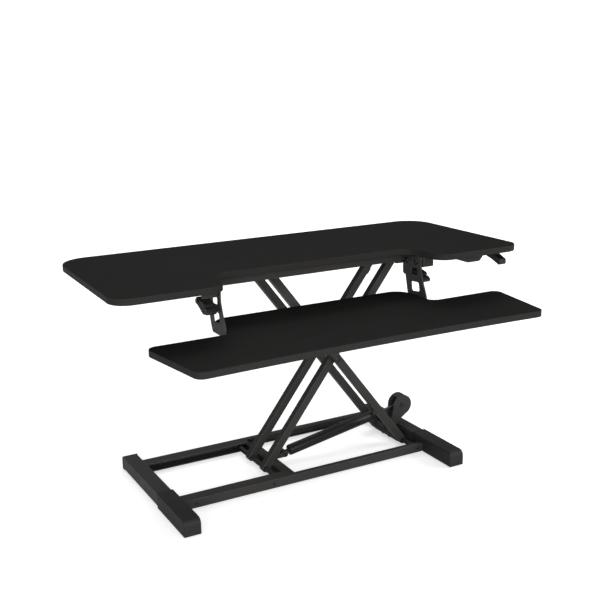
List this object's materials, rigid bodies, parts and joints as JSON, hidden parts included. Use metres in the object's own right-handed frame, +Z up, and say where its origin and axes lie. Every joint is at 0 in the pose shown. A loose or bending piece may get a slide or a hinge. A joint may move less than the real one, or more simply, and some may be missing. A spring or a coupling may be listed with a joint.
{
  "type": "standing desk converter",
  "caption": "Height-adjustable desktop riser: a notched work surface and a lower keyboard tray on a gas-spring scissor frame, with rail feet and a release paddle.",
  "frame": {"origin": "floor level below the centre of the bounding box at full height", "axes": "+X to the user's right along the desktop's width, +Y away from the user towards the rear edge, +Z up"},
  "size_m": [1.0268, 0.6403, 0.561],
  "materials": {
    "board_laminate": "fine-grained black melamine laminate on wood board, satin, with a matching edge band",
    "powder_coat": "satin black powder coat on steel tube and sheet",
    "moulded_plastic": "moulded black plastic with a light spark texture",
    "roller_nylon": "smooth black nylon",
    "pad_rubber": "dull black rubber",
    "bright_rod": "ground and hard-chromed piston rod",
    "black_fastener": "black-oxide steel",
    "axle_steel": "black-passivated steel bar"
  },
  "bodies": {
    "base": {"foot_left": "powder_coat", "foot_right": "powder_coat", "foot_cover_left": "moulded_plastic", "foot_cover_right": "moulded_plastic", "foot_rear_cap_left": "moulded_plastic", "foot_rear_cap_right": "moulded_plastic", "rubber_pads": "pad_rubber", "base_rail_front": "powder_coat", "base_rail_rear": "powder_coat", "base_cross_plate": "powder_coat", "base_pivot_axle": "axle_steel", "base_screws": "black_fastener", "spring_base_bracket": "powder_coat", "spring_base_pin": "black_fastener"},
    "outer_frame": {"outer_leg_front": "powder_coat", "outer_leg_rear": "powder_coat", "torsion_tube": "powder_coat", "rocker_cheek_front": "powder_coat", "rocker_cheek_rear": "powder_coat", "rocker_strap": "powder_coat", "rocker_pin": "black_fastener", "upper_roller_axle": "axle_steel", "centre_bolt_front": "black_fastener", "centre_bolt_rear": "black_fastener", "centre_washers": "roller_nylon"},
    "inner_frame": {"inner_leg_front": "powder_coat", "inner_leg_rear": "powder_coat", "inner_brace": "powder_coat", "lower_roller_axle": "axle_steel", "leg_clip": "moulded_plastic"},
    "top": {"desktop": "board_laminate", "keyboard_tray": "board_laminate", "top_rail_front": "powder_coat", "top_rail_rear": "powder_coat", "top_tie_left": "powder_coat", "top_tie_right": "powder_coat", "top_pivot_axle": "axle_steel", "top_axle_screws": "black_fastener", "hanger_left": "powder_coat", "hanger_right": "powder_coat", "tray_arm_left": "powder_coat", "tray_arm_right": "powder_coat", "latch_pins": "black_fastener", "catch_studs": "black_fastener", "hanger_bolts": "black_fastener", "lever_housing": "moulded_plastic", "cable_ferrule": "black_fastener", "desktop_screws": "black_fastener", "tray_screws": "black_fastener"},
    "spring_cylinder": {"spring_cylinder": "powder_coat"},
    "spring_rod": {"spring_rod": "bright_rod", "spring_valve_collar": "moulded_plastic"},
    "latch_left": {"latch_left": "moulded_plastic"},
    "latch_right": {"latch_right": "moulded_plastic"},
    "paddle": {"release_paddle": "moulded_plastic", "lever_shaft": "axle_steel"},
    "lower_roller_front": {"lower_roller_front": "roller_nylon"},
    "lower_roller_rear": {"lower_roller_rear": "roller_nylon"},
    "upper_roller_front": {"upper_roller_front": "roller_nylon"},
    "upper_roller_rear": {"upper_roller_rear": "roller_nylon"}
  },
  "joints": [
    {"name": "lift", "type": "hinge", "parent": "base", "child": "outer_frame", "pos_m": [0.321, 0.155, 0.015], "axis": [0, 1, 0], "range_deg": [-41.3, 0]},
    {"name": "scissor", "type": "hinge", "parent": "outer_frame", "child": "inner_frame", "pos_m": [0.1225, 0.155, 0.275], "axis": [0, 1, 0], "range_deg": [0, 82.6]},
    {"name": "level", "type": "hinge", "parent": "inner_frame", "child": "top", "pos_m": [0.321, 0.155, 0.535], "axis": [0, 1, 0], "range_deg": [-41.3, 0]},
    {"name": "spring_foot", "type": "hinge", "parent": "base", "child": "spring_cylinder", "pos_m": [-0.002, 0.155, 0.024], "axis": [0, 1, 0], "range_deg": [-3.6, 0]},
    {"name": "spring_head", "type": "hinge", "parent": "outer_frame", "child": "spring_rod", "pos_m": [0.358, 0.155, 0.088], "axis": [0, 1, 0], "range_deg": [0, 38]},
    {"name": "lower_roller_front_spin", "type": "hinge", "parent": "inner_frame", "child": "lower_roller_front", "pos_m": [-0.076, 0.034, 0.015], "axis": [0, 1, 0], "continuous": true},
    {"name": "lower_roller_rear_spin", "type": "hinge", "parent": "inner_frame", "child": "lower_roller_rear", "pos_m": [-0.076, 0.276, 0.015], "axis": [0, 1, 0], "continuous": true},
    {"name": "upper_roller_front_spin", "type": "hinge", "parent": "outer_frame", "child": "upper_roller_front", "pos_m": [-0.076, 0.024, 0.535], "axis": [0, 1, 0], "continuous": true},
    {"name": "upper_roller_rear_spin", "type": "hinge", "parent": "outer_frame", "child": "upper_roller_rear", "pos_m": [-0.076, 0.286, 0.535], "axis": [0, 1, 0], "continuous": true},
    {"name": "latch_left_release", "type": "hinge", "parent": "top", "child": "latch_left", "pos_m": [-0.279, -0.014, 0.504], "axis": [1, 0, 0], "range_deg": [0, 35], "stiffness_Nm_per_rad": 0.05, "springref_deg": -11.46},
    {"name": "latch_right_release", "type": "hinge", "parent": "top", "child": "latch_right", "pos_m": [0.279, -0.014, 0.504], "axis": [1, 0, 0], "range_deg": [0, 35], "stiffness_Nm_per_rad": 0.05, "springref_deg": -11.46},
    {"name": "height_release", "type": "hinge", "parent": "top", "child": "paddle", "pos_m": [0.465, -0.078, 0.535], "axis": [-1, 0, 0], "range_deg": [0, 14], "stiffness_Nm_per_rad": 0.15, "springref_deg": -20.05}
  ],
  "couplings": [
    {"joint": "scissor", "follows": "lift", "ratio": -2},
    {"joint": "level", "follows": "lift", "ratio": 1},
    {"joint": "spring_foot", "follows": "lift", "ratio": 0.085},
    {"joint": "spring_head", "follows": "lift", "ratio": -0.915}
  ]
}
